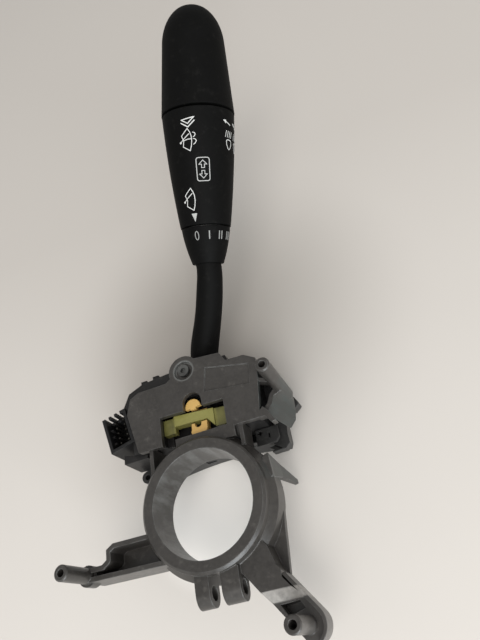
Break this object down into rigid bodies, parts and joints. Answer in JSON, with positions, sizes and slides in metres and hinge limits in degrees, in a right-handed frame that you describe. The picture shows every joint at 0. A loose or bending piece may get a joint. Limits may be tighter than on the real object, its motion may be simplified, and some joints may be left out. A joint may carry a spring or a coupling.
{
  "type": "combination stalk switch",
  "caption": "Steering-column stalk switch: clamp-ring bracket with mounting arms, switch module and bent lever with twist wiper sleeve and washer push end.",
  "frame": {"origin": "centre of the clamp ring's front face, on the steering column axis", "axes": "+Z along the column axis towards the driver, +Y from the ring towards the switch module and the lever, +X along the module's lower edge"},
  "size_m": [0.115, 0.2544, 0.1059],
  "materials": {
    "glass_filled_grey": "moulded, fine grain",
    "body_black": "moulded",
    "connector_black": "moulded",
    "tinned_brass": "tinned",
    "dark_zinc": "dark zinc plated",
    "board_brown": "phenolic sheet",
    "contact_brass": "stamped",
    "acetal_white": "moulded",
    "bright_steel": "ground",
    "spring_steel": "drawn wire",
    "acetal_olive": "moulded",
    "acetal_amber": "moulded",
    "stalk_black": "moulded, fine grain",
    "core_grey": "moulded"
  },
  "bodies": {
    "housing": {"column_frame": "glass_filled_grey", "switch_body": "body_black", "rear_tray": "body_black", "connector_shell": "connector_black", "connector_pins": "tinned_brass", "mount_screw": "dark_zinc", "contact_plate": "board_brown", "contact_tracks": "contact_brass", "detent_track": "acetal_white"},
    "turn_yoke": {"lever_yoke": "body_black", "cross_pin": "bright_steel", "turn_slider": "contact_brass", "detent_plunger": "bright_steel", "detent_spring": "spring_steel"},
    "lever": {"stalk_stem": "stalk_black", "scale_collar": "stalk_black", "handle_core": "core_grey", "contact_drum": "acetal_white", "washer_spring": "spring_steel"},
    "wiper_grip": {"wiper_sleeve": "stalk_black", "detent_wheel": "acetal_white"},
    "push_cap": {"washer_cap": "stalk_black"},
    "push_button": {"washer_button": "acetal_white"},
    "bridge": {"cancel_bridge": "acetal_olive", "pawl_pin": "bright_steel"},
    "pawl": {"cancel_pawl": "acetal_amber"}
  },
  "joints": [
    {"name": "turn_signal", "type": "hinge", "parent": "housing", "child": "turn_yoke", "pos_m": [-0.001, 0.052, -0.026], "axis": [0, 0, 1], "range_deg": [-12, 12]},
    {"name": "beam_flash", "type": "hinge", "parent": "turn_yoke", "child": "lever", "pos_m": [-0.001, 0.052, -0.026], "axis": [1, 0, 0], "range_deg": [-8, 8]},
    {"name": "wiper_twist", "type": "hinge", "parent": "lever", "child": "wiper_grip", "pos_m": [0.0195, 0.1022, 0.0034], "axis": [0.2559, 0.8417, 0.4754], "range_deg": [0, 92]},
    {"name": "washer_push", "type": "slide", "parent": "wiper_grip", "child": "push_cap", "axis": [-0.2559, -0.8417, -0.4754], "range_m": [0, 0.0009], "stiffness_N_per_m": 4000, "springref_m": -0.001, "deforming": ["washer_spring"]},
    {"name": "button_press", "type": "slide", "parent": "lever", "child": "push_button", "axis": [-0.2559, -0.8417, -0.4754], "range_m": [0, 0.0009]},
    {"name": "bridge_lift", "type": "slide", "parent": "housing", "child": "bridge", "axis": [0, 1, 0], "range_m": [0, 0.0018], "stiffness_N_per_m": 600, "springref_m": -0.001},
    {"name": "pawl_swing", "type": "hinge", "parent": "bridge", "child": "pawl", "pos_m": [0.0009, 0.0373, -0.0138], "axis": [0, 0, 1], "range_deg": [-8, 8], "stiffness_Nm_per_rad": 0.02}
  ],
  "couplings": [
    {"joint": "button_press", "follows": "washer_push", "ratio": 1}
  ]
}
